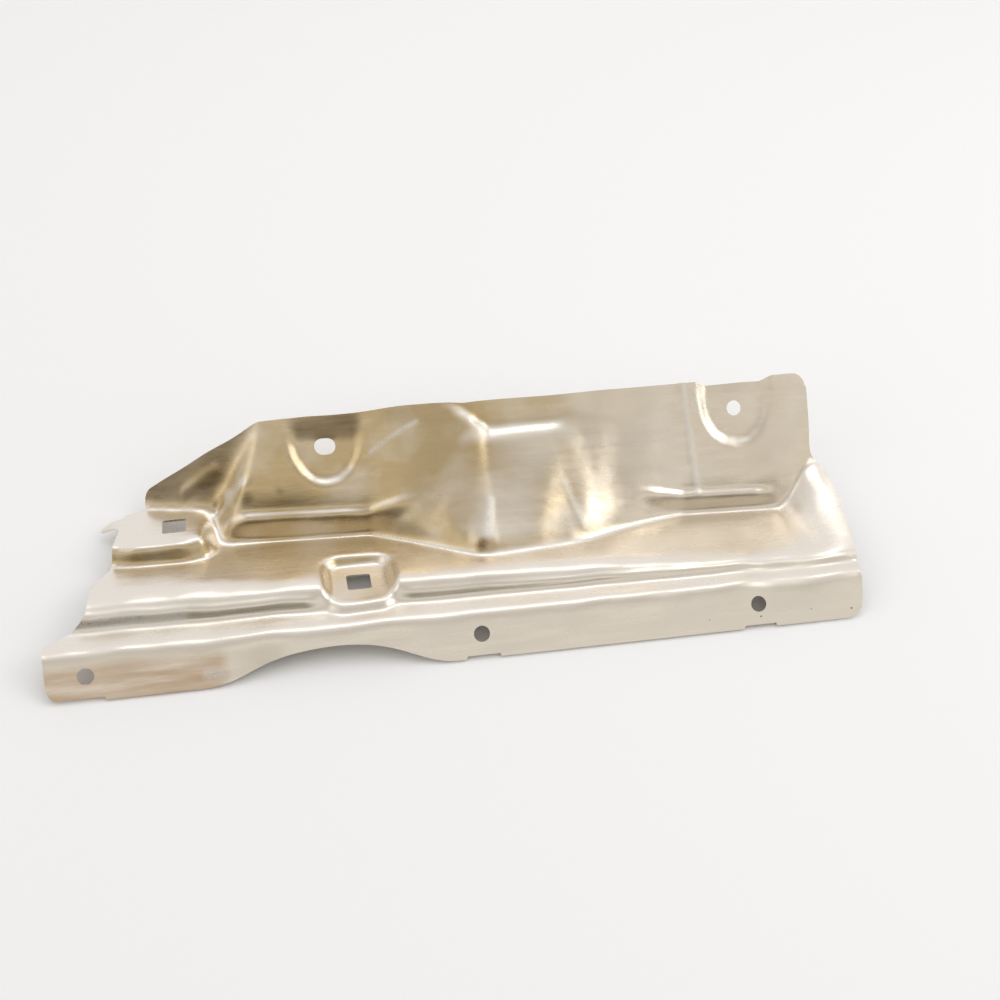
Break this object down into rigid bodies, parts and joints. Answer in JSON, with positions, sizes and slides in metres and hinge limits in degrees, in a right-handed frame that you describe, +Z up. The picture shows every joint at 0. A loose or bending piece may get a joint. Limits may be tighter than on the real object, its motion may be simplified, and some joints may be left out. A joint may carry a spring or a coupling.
{
  "type": "heat shield",
  "caption": "Long pressed steel heat shield with a sloping bolt flange, a stiffening rib, a trough and a tall back panel with a bulge.",
  "frame": {"origin": "centre of the bounding box in plan, at the lowest point of the sheet as it lies", "axes": "+X along the shield, to the right as seen from the flange, +Y from the flange to the back panel, +Z up as it lies on the flange edge and the trough"},
  "size_m": [0.4116, 0.1284, 0.0527],
  "materials": {
    "tinted_steel": "bare steel with a straw and brown heat tint, faint grain and scuffs"
  },
  "bodies": {
    "root": {"heat_shield": "tinted_steel"}
  },
  "joints": []
}
